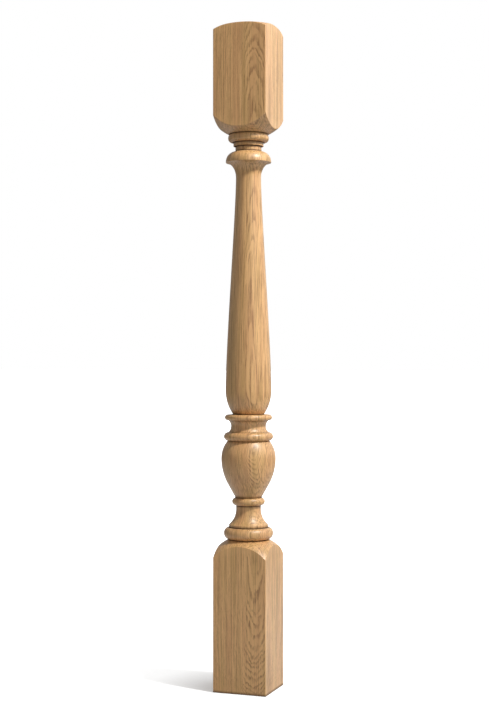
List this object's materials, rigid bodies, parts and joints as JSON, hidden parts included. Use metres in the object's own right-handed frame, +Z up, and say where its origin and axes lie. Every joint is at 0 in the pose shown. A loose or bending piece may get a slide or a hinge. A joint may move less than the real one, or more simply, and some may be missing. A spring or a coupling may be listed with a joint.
{
  "type": "turned newel post",
  "caption": "Stair newel post of clear-finished oak: square blocks at foot and head, with a turned torus, vase, spool, tapered shaft and bell cap between them.",
  "frame": {"origin": "centre of the square underside, on the floor", "axes": "+Z up along the turning axis; X and Y square to the faces of the two blocks"},
  "size_m": [0.1, 0.1, 1.2],
  "materials": {
    "oak": "satin clear lacquer over solid oak"
  },
  "bodies": {
    "root": {"newel_post": "oak"}
  },
  "joints": []
}
